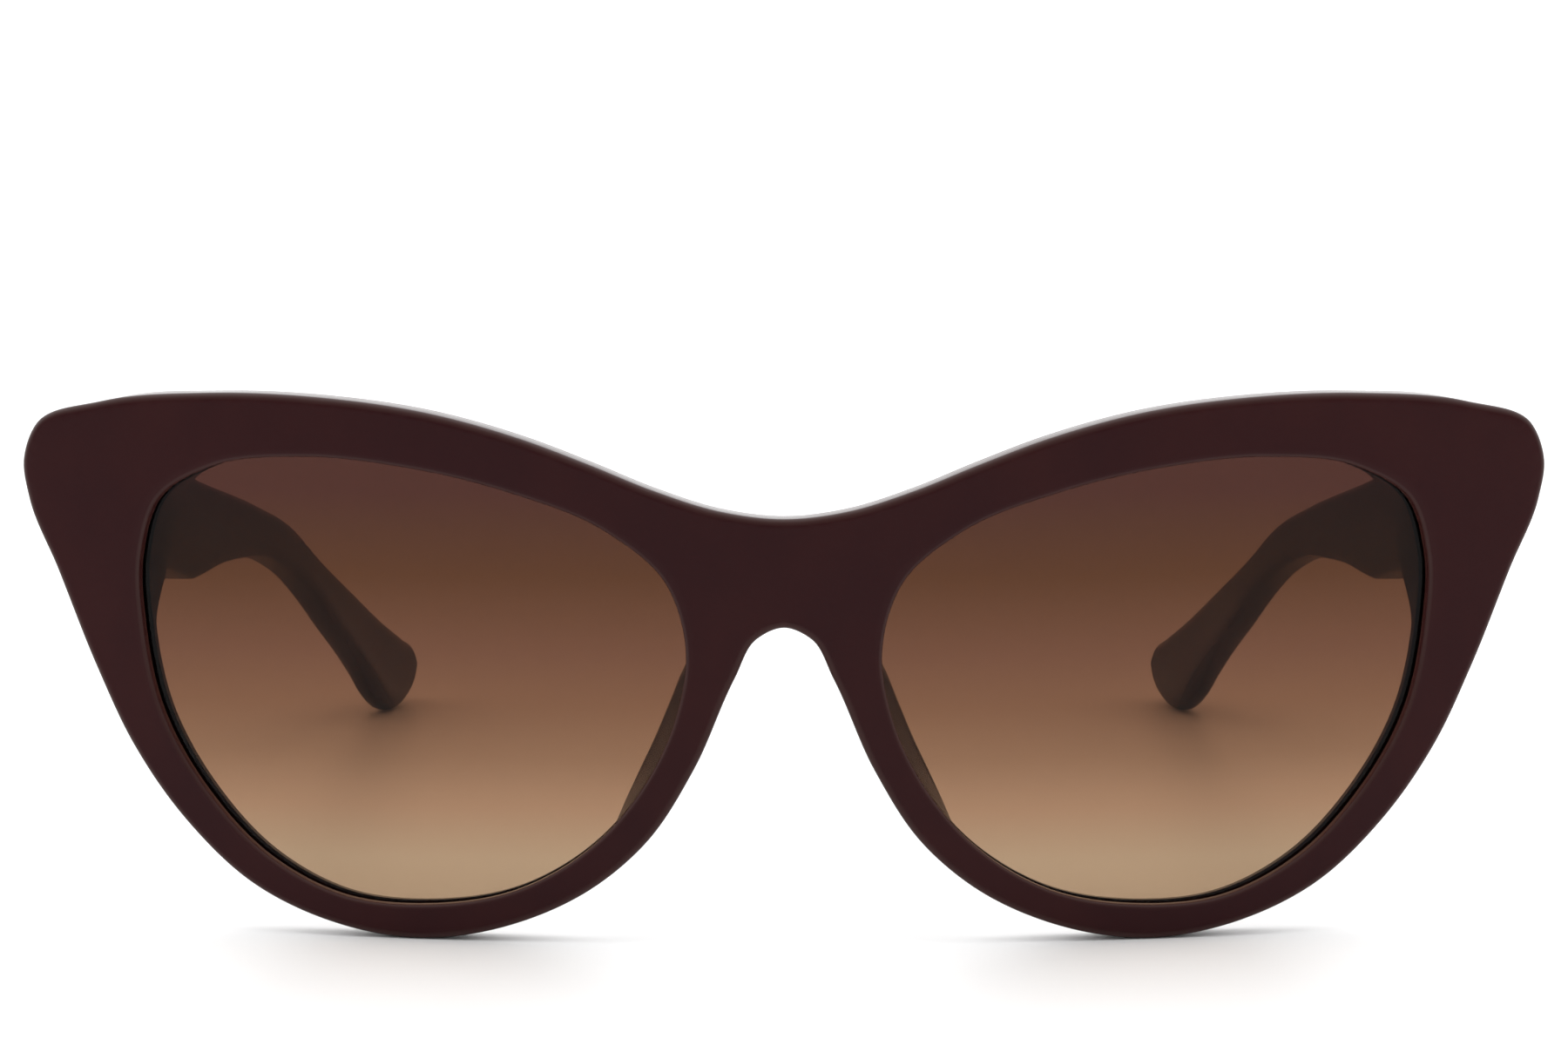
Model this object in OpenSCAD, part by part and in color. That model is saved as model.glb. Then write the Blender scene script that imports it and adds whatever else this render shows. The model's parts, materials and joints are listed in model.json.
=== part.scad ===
// Cat eye sunglasses: an acetate front and two folding temples on five-knuckle hinges.
// X runs across the face, Y from the front to the tips of the temples, Z up.
// The rims and the tips of the temples stand on Z = 0.

/* [Front] */
// Width of one lens opening
lens_width = 53; // [44:0.5:64]
// Height of one lens opening
lens_height = 43.4; // [34:0.2:52]
// Distance between the two lens openings, across the bridge
bridge_width = 19; // [15:0.5:25]
// Width of the front beyond a lens opening, out to the wing's tip
wing_width = 12; // [10:0.1:16]
// Height of the front over the lens openings
brow_height = 6; // [4:0.1:9]
// Height of the rim under the lens openings
rim_height = 3.4; // [2.4:0.1:5]
// Thickness of the front
front_thickness = 4; // [3:0.1:5]
// Radius of the curve that wraps the front round the face
front_radius = 232; // [180:1:400]

/* [Lenses] */
// Thickness of a lens
lens_thickness = 2; // [1.4:0.1:2.6]
// Depth of the groove that holds a lens
groove_depth = 0.8; // [0.5:0.1:1.2]
// Clearance all round a lens in its groove
lens_clearance = 0.05; // [0.02:0.01:0.15]

/* [Nose pads] */
// How far a nose pad stands out behind the rim
pad_depth = 6.5; // [4:0.1:9]
// Angle at which the nose pads spread to the rear
pad_splay = 16; // [10:1:35]
// Thickness of the glue between a nose pad and the rim
pad_glue = 0.05; // [0.02:0.01:0.15]

/* [Temples] */
// Distance from the hinge end of a temple to its tip, front to rear
temple_reach = 134; // [110:1:150]
// Thickness of a temple at the hinge
temple_thickness = 4.4; // [4:0.1:6]
// Thickness of a temple at the tip
tip_thickness = 3.4; // [3:0.1:5]
// Distance between the tips of the temples
tip_gap = 95; // [80:1:110]
// Gap between the front and the end of an open temple
butt_gap = 0.3; // [0.2:0.05:0.5]
// Thickness of the flat wire in the core of a temple
core_thickness = 1.4; // [1:0.1:1.8]
// Width of the flat wire in the core of a temple
core_width = 2.2; // [1.4:0.1:3]
// Clearance all round the core wire
core_clearance = 0.03; // [0.02:0.01:0.1]

/* [Hinges] */
// Outer radius of a hinge knuckle
knuckle_radius = 1.5; // [1.3:0.05:2]
// Height of one hinge knuckle
knuckle_height = 1.4; // [1:0.05:1.6]
// Gap between two knuckles
knuckle_gap = 0.2; // [0.15:0.05:0.3]
// Gap between a knuckle and the face that it turns beside
knuckle_clearance = 0.3; // [0.2:0.05:0.5]
// Thickness of a hinge plate
plate_thickness = 1; // [0.7:0.05:1.3]
// Width of the front hinge plate
front_plate_width = 6.4; // [5.5:0.1:7.5]
// Length of the temple hinge plate
temple_plate_length = 9; // [7:0.5:10]
// Clearance round a hinge plate in its pocket
plate_clearance = 0.03; // [0.02:0.01:0.1]
// Radius of the hinge screw's shank
screw_radius = 0.7; // [0.5:0.05:0.9]
// Radius of the hinge screw's head
screw_head_radius = 1.2; // [1:0.05:1.4]
// Height of the hinge screw's head
screw_head_height = 0.7; // [0.5:0.05:1]
// Radial clearance of the screw in the knuckles
screw_clearance = 0.04; // [0.02:0.01:0.08]
// Radius of a rivet pin
pin_radius = 0.45; // [0.35:0.05:0.6]
// Radius of a rivet pin's head
pin_head_radius = 0.8; // [0.7:0.05:1]
// Length of a rivet pin, from the face of its plate
pin_length = 2.6; // [2:0.1:3]

/* [Hidden] */

acetate = "#3a2122";
lens_tint = [0.45, 0.3, 0.22, 0.6];
steel = "#b4b4b8";
steps = 4; // points from one outline point to the next
curve_fn = 360; // sides of the large curve of the front
round_fn = 48; // sides of knuckles, bores and pins
cut = 1; // how far a cutting solid runs past the face it cuts

// The outlines of the front are drawn for one set of sizes, and are stretched to the sizes
// above zone by zone: bridge, opening and wing across, rim, opening and brow upwards.
drawn_bridge = 9.5;
drawn_lens_width = 53;
drawn_wing = 12;
drawn_rim = 3.4;
drawn_lens_height = 43.4;
drawn_brow = 6;

function across(x) = let (nasal = bridge_width / 2, outer = drawn_bridge + drawn_lens_width)
    x < drawn_bridge ? x * nasal / drawn_bridge
    : x < outer ? nasal + (x - drawn_bridge) * lens_width / drawn_lens_width
    : nasal + lens_width + (x - outer) * wing_width / drawn_wing;
function upwards(z) = let (top = drawn_rim + drawn_lens_height)
    z < drawn_rim ? z * rim_height / drawn_rim
    : z < top ? rim_height + (z - drawn_rim) * lens_height / drawn_lens_height
    : rim_height + lens_height + (z - top) * brow_height / drawn_brow;
function stretched(points) = [for (p = points) [across(p.x), upwards(p.y)]];

// A smooth curve through points: each tangent follows the two chords that meet there.
function tangent(a, b, c) = let (h = norm(b - a), k = norm(c - b))
    ((b - a) * k / h + (c - b) * h / k) / (h + k);
function between(p, q, mp, mq, t) = let (h = norm(q - p))
    p * (2 * t ^ 3 - 3 * t ^ 2 + 1) + mp * h * (t ^ 3 - 2 * t ^ 2 + t)
    + q * (3 * t ^ 2 - 2 * t ^ 3) + mq * h * (t ^ 3 - t ^ 2);
function loop(p) = let (n = len(p)) [
    for (i = [0 : n - 1])
        let (a = p[(i + n - 1) % n], b = p[i], c = p[(i + 1) % n], d = p[(i + 2) % n])
            for (j = [0 : steps - 1])
                between(b, c, tangent(a, b, c), tangent(b, c, d), j / steps)
];
function line(p) = let (n = len(p), chord = function (i) (p[i + 1] - p[i]) / norm(p[i + 1] - p[i]))
    concat([
        for (i = [0 : n - 2])
            let (m = i == 0 ? chord(0) : tangent(p[i - 1], p[i], p[i + 1]))
            let (k = i == n - 2 ? chord(i) : tangent(p[i], p[i + 1], p[i + 2]))
                for (j = [0 : steps - 1]) between(p[i], p[i + 1], m, k, j / steps)
    ], [p[n - 1]]);
// A closed curve that runs counterclockwise, moved outwards by d.
function grown(p, d) = let (n = len(p)) [
    for (i = [0 : n - 1])
        let (along = p[(i + 1) % n] - p[(i + n - 1) % n])
            p[i] + [along.y, -along.x] * d / norm(along)
];
function reversed(p) = [for (i = [len(p) - 1 : -1 : 0]) p[i]];

// One half of the front's outline: nose, cheek, wing and brow.
front_half = [
    [0, 30.8], [2.6, 29.7], [4.7, 25.9], [8.7, 16.9], [13.2, 9.9], [18.6, 5.2], [25.9, 1.7],
    [35.5, 0], [44, 1.3], [51.7, 4.7], [58.5, 10.8], [63.8, 18.2], [67.3, 25.5], [71.2, 35.2],
    [74, 42], [74.5, 45.8], [73.1, 49.4], [66.6, 51.7], [56, 52.8], [45, 52.6], [34, 51.2],
    [25, 48.8], [18.5, 46.4], [12.5, 44], [6, 42], [0, 41.3]
];
opening_points = [
    [9.4, 28.5], [10.4, 22], [13.2, 15.8], [18.4, 9.5], [25.6, 5.1], [34.5, 3.4], [43, 4.1],
    [50.1, 7.6], [56.2, 13.8], [60.6, 21.5], [62.4, 30], [62.5, 37], [60.6, 42.5], [55.5, 45.6],
    [46.5, 46.8], [36.6, 46], [26, 43.6], [17, 40], [11.4, 35.2]
];
front_left = stretched(front_half);
front_outline = loop(concat(
    front_left,
    [for (i = [len(front_left) - 2 : -1 : 1]) [-front_left[i].x, front_left[i].y]]
));
lens_opening = loop(stretched(opening_points));

half_width = across(74.5);
inner_radius = front_radius - front_thickness;
// The rear of the wings: where the wrapped front ends, and the temples butt
butt_y = front_radius - sqrt(inner_radius ^ 2 - half_width ^ 2);
temple_start = butt_y + butt_gap;
depth = temple_start + temple_reach;
lens_lip = (front_thickness - lens_thickness) / 2;

// Temples: the side outline is drawn from the hinge end, the heights for a hinge at 42.3 mm
drawn_reach = 134;
drawn_hinge_z = 42.3;
hinge_z = upwards(drawn_hinge_z);
// The slope of a temple at the hinge, which its hinge plate shares
temple_slope = -0.25 * hinge_z / drawn_hinge_z * drawn_reach / temple_reach;
temple_inset = 4.1; // from the wing's tip to the outer face of a temple
temple_inner = half_width - temple_inset - temple_thickness;
// From the upper corner at the hinge round the tip to the lower corner, where the wide part ends
temple_side_points = [
    [31, 29.3], [36, 29.3], [42, 29.4], [48, 29.1], [53, 28.7], [57.5, 28.3], [65, 27.1], [73, 25],
    [81, 22.2], [89, 18.6], [97.5, 14.3], [106.5, 9.7], [113, 5.8], [118.5, 2.1], [123, 0.2],
    [128.5, 0.5], [132.4, 2.2], [134, 4.8], [132.4, 7], [128, 8.8], [119, 12.3], [107, 17.2],
    [89, 24], [72.5, 30.4], [58.6, 34], [32, 39.9], [0, 47.7]
];
temple_lower_corner = [0, 36.9];
// Along a temple, as shares of its reach, and how far it still is from the tips' gap
temple_plan_points = [[0, 1], [0.1, 0.91], [0.3, 0.73], [0.5, 0.55], [0.8, 0.27], [1, 0]];
straight = (temple_plan_points[0].y - temple_plan_points[1].y) / temple_plan_points[1].x;
// How far an open temple's straight part is turned towards the other
temple_turn = atan(straight * (temple_inner - tip_gap / 2) / temple_reach);
// The middle line of the core wire, drawn as the side outline is
core_points = [
    [1, 42.1], [31, 34.6], [45, 33.4], [58, 31.1], [73, 27.7], [89, 21.4], [102, 15.7], [114, 9.6]
];

function in_side(p) =
    [temple_start + p.x * temple_reach / drawn_reach, p.y * hinge_z / drawn_hinge_z];
// The temple's plan, thickness t thick, from a share s of the temple's own thickness inwards
function plan_edge(share) = [
    for (p = temple_plan_points)
        let (thick = temple_thickness + (tip_thickness - temple_thickness) * p.x)
            [
                tip_gap / 2 + (temple_inner - tip_gap / 2) * p.y + thick * share,
                temple_start + p.x * temple_reach
            ]
];

// Hinges: the pivot lies off the front's rear face and the temple's inner face alike
pivot_offset = knuckle_radius + knuckle_clearance;
pivot = [
    temple_inner - pivot_offset / cos(temple_turn) - (pivot_offset - butt_gap) * tan(temple_turn),
    butt_y + pivot_offset
];
knuckle_pitch = knuckle_height + knuckle_gap;
hinge_height = 5 * knuckle_height + 4 * knuckle_gap;
hinge_bottom = hinge_z - hinge_height / 2;
arm = 0.7 * knuckle_radius; // half the thickness of the arm that carries a knuckle
front_plate_start = pivot.x - arm;
temple_plate_height = hinge_height - 0.8;
pin_head_height = 0.3;
pin_clearance = 0.02;
pin_spread = 2.3; // from the hinge's middle to a rivet pin, up and down
front_pin_x = front_plate_start + 0.62 * front_plate_width;
temple_plate_y = pivot.y - arm; // where the temple's hinge plate starts
temple_pin_y = temple_plate_y + 0.62 * temple_plate_length;

pad_points = [
    [14.6, 9.2], [15, 11.8], [13.4, 15.2], [11.7, 18.6], [10.1, 22.4], [8.7, 25.8], [6.9, 28.1],
    [6.6, 25.2], [7.9, 21.3], [9.7, 17.2], [11.8, 13.2]
];
pad_middle = [10.4, 18.8]; // the middle of a pad, across and up
pad_curve = 13; // radius of a pad's rear edge, seen from the side

// Prisms: along Y from an outline in X and Z, along X from one in Y and Z, upwards from a plan
module along_y(points, from, to) {
    translate([0, to, 0]) rotate([90, 0, 0]) linear_extrude(to - from) polygon(points);
}
module along_x(points, from, to) {
    translate([from, 0, 0]) rotate([90, 0, 90]) linear_extrude(to - from) polygon(points);
}
module upright(points, from, to) {
    translate([0, 0, from]) linear_extrude(to - from) polygon(points);
}
module wrap_cylinder(r) {
    translate([0, front_radius, -cut]) cylinder(r = r, h = upwards(60), $fn = curve_fn);
}
// The space between two depths behind the wrapped face of the front
module wrapped(near, far) {
    difference() {
        wrap_cylinder(front_radius - near);
        wrap_cylinder(front_radius - far);
    }
}
module placed() {
    translate([0, -depth / 2, 0]) children();
}
// What lies on a temple's inner face is drawn along Y, and turned about the pivot with the temple
module turned() {
    translate([pivot.x, pivot.y, 0]) rotate([0, 0, temple_turn]) translate([-pivot.x, -pivot.y, 0])
        children();
}
module on_right() {
    mirror([1, 0, 0]) children();
}

// The thicker end of the front that the temple butts against, with a sloped lead-in
module end_block() {
    lead = 4;
    inner_x = across(62.5) - 1.6;
    low = upwards(35);
    high = upwards(50);
    root = butt_y - front_thickness;
    intersection() {
        along_y(front_outline, 0, butt_y);
        upright([
            [inner_x - lead, root], [inner_x - lead, root - cut], [half_width + cut, root - cut],
            [half_width + cut, butt_y], [inner_x, butt_y]
        ], 0, upwards(60));
        along_x([
            [root - cut, low - lead], [root, low - lead], [butt_y, low],
            [butt_y, high], [root, high + lead], [root - cut, high + lead]
        ], 0, half_width + cut);
        translate([0, front_radius, -cut]) cylinder(r = front_radius, h = upwards(60), $fn = curve_fn);
    }
}

module lens_solid(grow, lip) {
    intersection() {
        along_y(grown(lens_opening, grow), -cut, butt_y + cut);
        wrapped(lip, front_thickness - lip);
    }
}

module front_side_cuts() {
    along_y(lens_opening, -cut, butt_y + cut);
    lens_solid(groove_depth, lens_lip);
    front_plate_blank(plate_clearance);
    front_pin_places() pin_hole();
}

module front_frame() {
    color(acetate) placed() difference() {
        union() {
            intersection() {
                along_y(front_outline, -cut, butt_y + cut);
                wrapped(0, front_thickness);
            }
            end_block();
            on_right() end_block();
        }
        front_side_cuts();
        on_right() front_side_cuts();
    }
}

module lens() {
    placed() lens_solid(groove_depth - lens_clearance, lens_lip + lens_clearance);
}

// A pad: a crescent prism that splays outwards, seated on the rear of the rim and rounded behind
module nose_pad() {
    middle = [across(pad_middle.x), upwards(pad_middle.y)];
    seat = front_radius - sqrt(inner_radius ^ 2 - middle.x ^ 2);
    reach = seat + pad_depth;
    placed() intersection() {
        translate([middle.x, seat, 0]) rotate([0, 0, -pad_splay]) translate([-middle.x, -seat, 0])
            along_y(loop(stretched(pad_points)), 0, reach + 2 * pad_depth);
        wrap_cylinder(inner_radius - pad_glue);
        translate([0, reach - pad_curve, middle.y]) rotate([0, 90, 0])
            cylinder(r = pad_curve, h = half_width, $fn = curve_fn / 2);
    }
}

module front_plate_blank(gap) {
    translate([front_plate_start - gap, butt_y - plate_thickness - gap, hinge_bottom - gap])
        cube([
            front_plate_width + 2 * gap,
            plate_thickness + gap + (gap > 0 ? cut : 0),
            hinge_height + 2 * gap
        ]);
}

module knuckle(level) {
    translate([pivot.x, pivot.y, hinge_bottom + level * knuckle_pitch])
        cylinder(r = knuckle_radius, h = knuckle_height, $fn = round_fn);
}

module screw_bore() {
    translate([pivot.x, pivot.y, hinge_bottom - cut])
        cylinder(r = screw_radius + screw_clearance, h = hinge_height + 2 * cut, $fn = round_fn);
}

module front_hinge() {
    placed() difference() {
        union() {
            front_plate_blank(0);
            for (level = [0, 2, 4]) {
                knuckle(level);
                translate([pivot.x - arm, butt_y - plate_thickness / 2, hinge_bottom + level * knuckle_pitch])
                    cube([2 * arm, plate_thickness / 2 + pivot_offset, knuckle_height]);
            }
        }
        screw_bore();
        front_pin_places() pin_hole();
    }
}

// The temple's plate lies along the temple, so it slopes as the temple does
function plate_middle(y) = hinge_z + (y - temple_plate_y) * temple_slope;
module temple_plate_blank(gap) {
    from = temple_plate_y - gap;
    to = temple_plate_y + temple_plate_length + gap;
    half = temple_plate_height / 2 + gap;
    face = pivot.x + pivot_offset;
    turned() along_x([
        [from, plate_middle(from) - half], [to, plate_middle(to) - half],
        [to, plate_middle(to) + half], [from, plate_middle(from) + half]
    ], face - (gap > 0 ? cut : 0), face + plate_thickness + gap);
}

module temple_hinge() {
    placed() difference() {
        union() {
            temple_plate_blank(0);
            for (level = [1, 3]) {
                knuckle(level);
                turned() translate([pivot.x, pivot.y - arm, hinge_bottom + level * knuckle_pitch])
                    cube([pivot_offset + plate_thickness / 2, 2 * arm, knuckle_height]);
            }
        }
        screw_bore();
        temple_pin_places() pin_hole();
    }
}

module hinge_screw() {
    placed() translate([pivot.x, pivot.y, hinge_bottom]) {
        cylinder(r = screw_radius, h = hinge_height, $fn = round_fn);
        translate([0, 0, hinge_height])
            cylinder(r = screw_head_radius, h = screw_head_height, $fn = round_fn);
    }
}

// A rivet pin lies along -Z, with the face of its head at Z = 0
module pin_body(gap) {
    translate([0, 0, -pin_head_height - gap])
        cylinder(r = pin_head_radius + gap, h = pin_head_height + (gap > 0 ? cut : 0), $fn = round_fn);
    translate([0, 0, -pin_length - gap])
        cylinder(r = pin_radius + gap, h = pin_length, $fn = round_fn);
}
module pin_hole() {
    pin_body(pin_clearance);
}
module front_pin_places() {
    for (side = [-1, 1])
        translate([front_pin_x, butt_y, hinge_z + side * pin_spread]) rotate([-90, 0, 0]) children();
}
module temple_pin_places() {
    for (side = [-1, 1])
        turned()
            translate([pivot.x + pivot_offset, temple_pin_y, plate_middle(temple_pin_y) + side * pin_spread])
                rotate([0, -90, 0]) children();
}

module temple_strip(side_points, inner, outer) {
    intersection() {
        along_x(side_points, 0, half_width + cut);
        upright(concat(outer, reversed(inner)), -cut, upwards(60));
    }
}

// A strip along a temple's middle, as wide and as thick as the core wire and gap more on each side
module core_strip(middle, gap) {
    n = len(middle);
    normal = [
        for (i = [0 : n - 1])
            let (along = middle[min(i + 1, n - 1)] - middle[max(i - 1, 0)])
                [-along.y, along.x] / norm(along)
    ];
    rise = core_width / 2 + gap;
    aside = [core_thickness / 2 + gap, 0];
    upper = [for (i = [0 : n - 1]) middle[i] + normal[i] * rise];
    lower = [for (i = [0 : n - 1]) middle[i] - normal[i] * rise];
    plan = line(plan_edge(0.5));
    temple_strip(
        concat(upper, reversed(lower)),
        [for (p = plan) p - aside], [for (p = plan) p + aside]
    );
}
function core_line() = line([for (p = core_points) in_side(p)]);
module core_wire() {
    placed() core_strip(core_line(), 0);
}
// The channel is open at the hinge end, where the wire is driven in
module core_channel() {
    wire = core_line();
    n = len(wire);
    ahead = (wire[0] - wire[1]) / norm(wire[0] - wire[1]);
    behind = (wire[n - 1] - wire[n - 2]) / norm(wire[n - 1] - wire[n - 2]);
    mouth = wire[0] + ahead * (wire[0].x - temple_start + cut);
    core_strip(concat([mouth], wire, [wire[n - 1] + behind * core_clearance]), core_clearance);
}

module temple() {
    placed() difference() {
        temple_strip(
            concat(line([for (p = temple_side_points) in_side(p)]), [in_side(temple_lower_corner)]),
            line(plan_edge(0)), line(plan_edge(1))
        );
        temple_plate_blank(plate_clearance);
        temple_pin_places() pin_hole();
        core_channel();
    }
}

module lens_right() color(lens_tint) on_right() lens();
module lens_left() color(lens_tint) lens();
module nose_pad_right() color(acetate) on_right() nose_pad();
module nose_pad_left() color(acetate) nose_pad();
module temple_right() color(acetate) on_right() temple();
module temple_left() color(acetate) temple();
module core_wire_right() color(steel) on_right() core_wire();
module core_wire_left() color(steel) core_wire();
module front_hinge_right() color(steel) on_right() front_hinge();
module front_hinge_left() color(steel) front_hinge();
module temple_hinge_right() color(steel) on_right() temple_hinge();
module temple_hinge_left() color(steel) temple_hinge();
module hinge_screw_right() color(steel) on_right() hinge_screw();
module hinge_screw_left() color(steel) hinge_screw();
module front_hinge_pins_right() color(steel) placed() on_right() front_pin_places() pin_body(0);
module front_hinge_pins_left() color(steel) placed() front_pin_places() pin_body(0);
module temple_hinge_pins_right() color(steel) placed() on_right() temple_pin_places() pin_body(0);
module temple_hinge_pins_left() color(steel) placed() temple_pin_places() pin_body(0);

front_frame();
lens_right();
lens_left();
nose_pad_right();
nose_pad_left();
temple_right();
temple_left();
core_wire_right();
core_wire_left();
front_hinge_right();
front_hinge_left();
temple_hinge_right();
temple_hinge_left();
hinge_screw_right();
hinge_screw_left();
front_hinge_pins_right();
front_hinge_pins_left();
temple_hinge_pins_right();
temple_hinge_pins_left();
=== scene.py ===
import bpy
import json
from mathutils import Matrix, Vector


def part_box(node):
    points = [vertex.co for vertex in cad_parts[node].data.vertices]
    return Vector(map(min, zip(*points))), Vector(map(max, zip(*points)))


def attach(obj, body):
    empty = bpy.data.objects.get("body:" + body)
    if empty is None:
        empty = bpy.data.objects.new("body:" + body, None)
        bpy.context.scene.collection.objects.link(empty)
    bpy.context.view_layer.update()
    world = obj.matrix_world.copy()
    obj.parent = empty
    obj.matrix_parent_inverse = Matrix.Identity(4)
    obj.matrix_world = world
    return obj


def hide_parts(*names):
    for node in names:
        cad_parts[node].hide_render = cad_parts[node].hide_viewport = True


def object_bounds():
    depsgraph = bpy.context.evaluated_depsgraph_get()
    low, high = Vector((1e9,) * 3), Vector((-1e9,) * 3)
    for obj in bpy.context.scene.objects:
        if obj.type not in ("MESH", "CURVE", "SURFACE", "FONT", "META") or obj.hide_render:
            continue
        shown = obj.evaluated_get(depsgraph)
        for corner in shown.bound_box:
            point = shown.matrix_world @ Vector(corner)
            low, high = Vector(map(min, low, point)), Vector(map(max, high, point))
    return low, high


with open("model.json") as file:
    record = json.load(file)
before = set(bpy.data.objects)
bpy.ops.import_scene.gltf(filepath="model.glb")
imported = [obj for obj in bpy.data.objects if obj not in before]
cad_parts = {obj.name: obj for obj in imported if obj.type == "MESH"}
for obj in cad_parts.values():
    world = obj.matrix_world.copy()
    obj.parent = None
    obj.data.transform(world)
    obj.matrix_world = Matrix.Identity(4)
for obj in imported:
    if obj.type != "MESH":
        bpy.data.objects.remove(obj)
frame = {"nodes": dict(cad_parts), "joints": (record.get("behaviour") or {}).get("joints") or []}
CAD_BOX = [list(corner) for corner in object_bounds()]

import json
import math

import bmesh
import bpy
import numpy as np
from mathutils import Vector

bl_info = {
    "name": "Cat eye sunglasses",
    "version": (1, 0, 0),
    "blender": (4, 5, 0),
    "location": "View3D > Sidebar > Sunglasses",
    "description": "Builds acetate cat eye sunglasses with graded lenses round their packed frame",
    "category": "Add Mesh",
}

MM = 0.001
SIDES = {"left": 1, "right": -1}
FRONT = "front"
FRONT_LOW, FRONT_HIGH = (np.array(corner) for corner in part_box("front_frame"))
FRONT_Y = FRONT_LOW[1]  # the front-most point of the bridge
BUTT_Y = FRONT_HIGH[1]  # the rear face of the wings, which the temples butt against
TEMPLE_LOW, TEMPLE_HIGH = (np.array(corner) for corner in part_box("temple_left"))
HINGE_LOW, HINGE_HIGH = (np.array(corner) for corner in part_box("front_hinge_left"))
SCREW_LOW, SCREW_HIGH = (np.array(corner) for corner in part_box("hinge_screw_left"))
PIVOT = next(np.array(j["pos_m"]) for j in frame["joints"] if j["child"] == "temple_left")

# The front, flattened: one half of its outline from the nose round the wing to the bridge
FRONT_HALF = np.array([
    [0, 30.8], [2.6, 29.7], [4.7, 25.9], [8.7, 16.9], [13.2, 9.9], [18.6, 5.2], [25.9, 1.7],
    [35.5, 0], [44, 1.3], [51.7, 4.7], [58.5, 10.8], [63.8, 18.2], [67.3, 25.5], [71.2, 35.2],
    [74, 42], [74.5, 45.8], [73.1, 49.4], [66.6, 51.7], [56, 52.8], [45, 52.6], [34, 51.2],
    [25, 48.8], [18.5, 46.4], [12.5, 44], [6, 42], [0, 41.3],
]) * MM
OPENING = np.array([
    [9.4, 28.5], [10.4, 22], [13.2, 15.8], [18.4, 9.5], [25.6, 5.1], [34.5, 3.4], [43, 4.1],
    [50.1, 7.6], [56.2, 13.8], [60.6, 21.5], [62.4, 30], [62.5, 37], [60.6, 42.5], [55.5, 45.6],
    [46.5, 46.8], [36.6, 46], [26, 43.6], [17, 40], [11.4, 35.2],
]) * MM
OPENING_MIDDLE = np.array([36, 25]) * MM
# A temple from the side: back from the hinge end, and up
TEMPLE_LOWER = np.array([
    [31, 29.3], [36, 29.3], [42, 29.4], [48, 29.1], [53, 28.7], [57.5, 28.3], [65, 27.1],
    [73, 25], [81, 22.2], [89, 18.6], [97.5, 14.3], [106.5, 9.7], [113, 5.8], [118.5, 2.1],
    [123, 0.2], [128.5, 0.5], [132.4, 2.2], [134, 4.8],
]) * MM
TEMPLE_UPPER = np.array([
    [0, 47.7], [32, 39.9], [58.6, 34], [72.5, 30.4], [89, 24], [107, 17.2], [119, 12.3],
    [128, 8.8], [132.4, 7], [134, 4.8],
]) * MM
TEMPLE_LOWER_START = np.array([0, 36.9]) * MM
# A temple from above: share of its reach, share of the way from the tips' gap to the hinge
TEMPLE_PLAN = np.array([[0, 1], [0.1, 0.91], [0.3, 0.73], [0.5, 0.55], [0.8, 0.27], [1, 0]])
PAD_OUTER = np.array([
    [16.8, 7.4], [16.2, 9.6], [14.9, 12.3], [13.3, 15.4], [11.7, 18.6], [10.2, 22.5], [9, 26.2],
    [7.4, 29.2],
]) * MM
PAD_NASAL = np.array([
    [16.8, 7.4], [14.3, 10.1], [11.8, 13.4], [9.7, 17.2], [7.9, 21.4], [6.7, 25.7], [7.4, 29.2],
]) * MM
PAD_MIDDLE, PAD_REACH = 0.0183, 0.0110  # height of a pad's middle, and from there to its ends
PAD_SEAT, PAD_CROWN = 0.0003, 0.0002  # how far a pad sinks into the rim, and its top's extra height
PAD_SPLAY = math.radians(16)
SPAN_POINTS = 48  # steps between two given points of a curve
MERGE = 1e-7  # points closer than this become one
# The wings thicken for the hinges: where each soft shoulder starts and ends, across and up
BLOCK_SIDE, BLOCK_FOOT, BLOCK_TOP = (0.0562, 0.0620), (0.0292, 0.0362), (0.0490, 0.0540)
# The hinges
ARM_SHARE = 0.7  # half an arm's width, as a share of the knuckle's radius
PLATE_EDGE, ARM_EDGE = 0.12 * MM, 0.08 * MM  # radii of their edges
PLATE_SINK, ARM_SINK = 0.001, 0.0004  # how far they go into the acetate
BORE_CLEARANCE = 0.04 * MM
RIVET_SHARE = 0.62  # where the rivets are along a plate
RIVET_STEPS = (-2.3 * MM, 2.3 * MM)  # down and up from a plate's middle to its rivets
# The camera looks down a little, from in front of the bridge
CAMERA_TILT = 6.8
CAMERA_BACK, CAMERA_UP = 0.41196, 0.09017


# ---------------------------------------------------------------- sizes and colours

def length(name, description, default):
    """A length in metres that shows in the sidebar."""
    return bpy.props.FloatProperty(
        name=name, description=description, default=default, min=0, precision=5,
        subtype="DISTANCE", unit="LENGTH",
    )


def colour(name, description, default):
    """A colour that shows in the sidebar."""
    return bpy.props.FloatVectorProperty(
        name=name, description=description, default=default, size=3, min=0, max=1,
        subtype="COLOR",
    )


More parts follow.
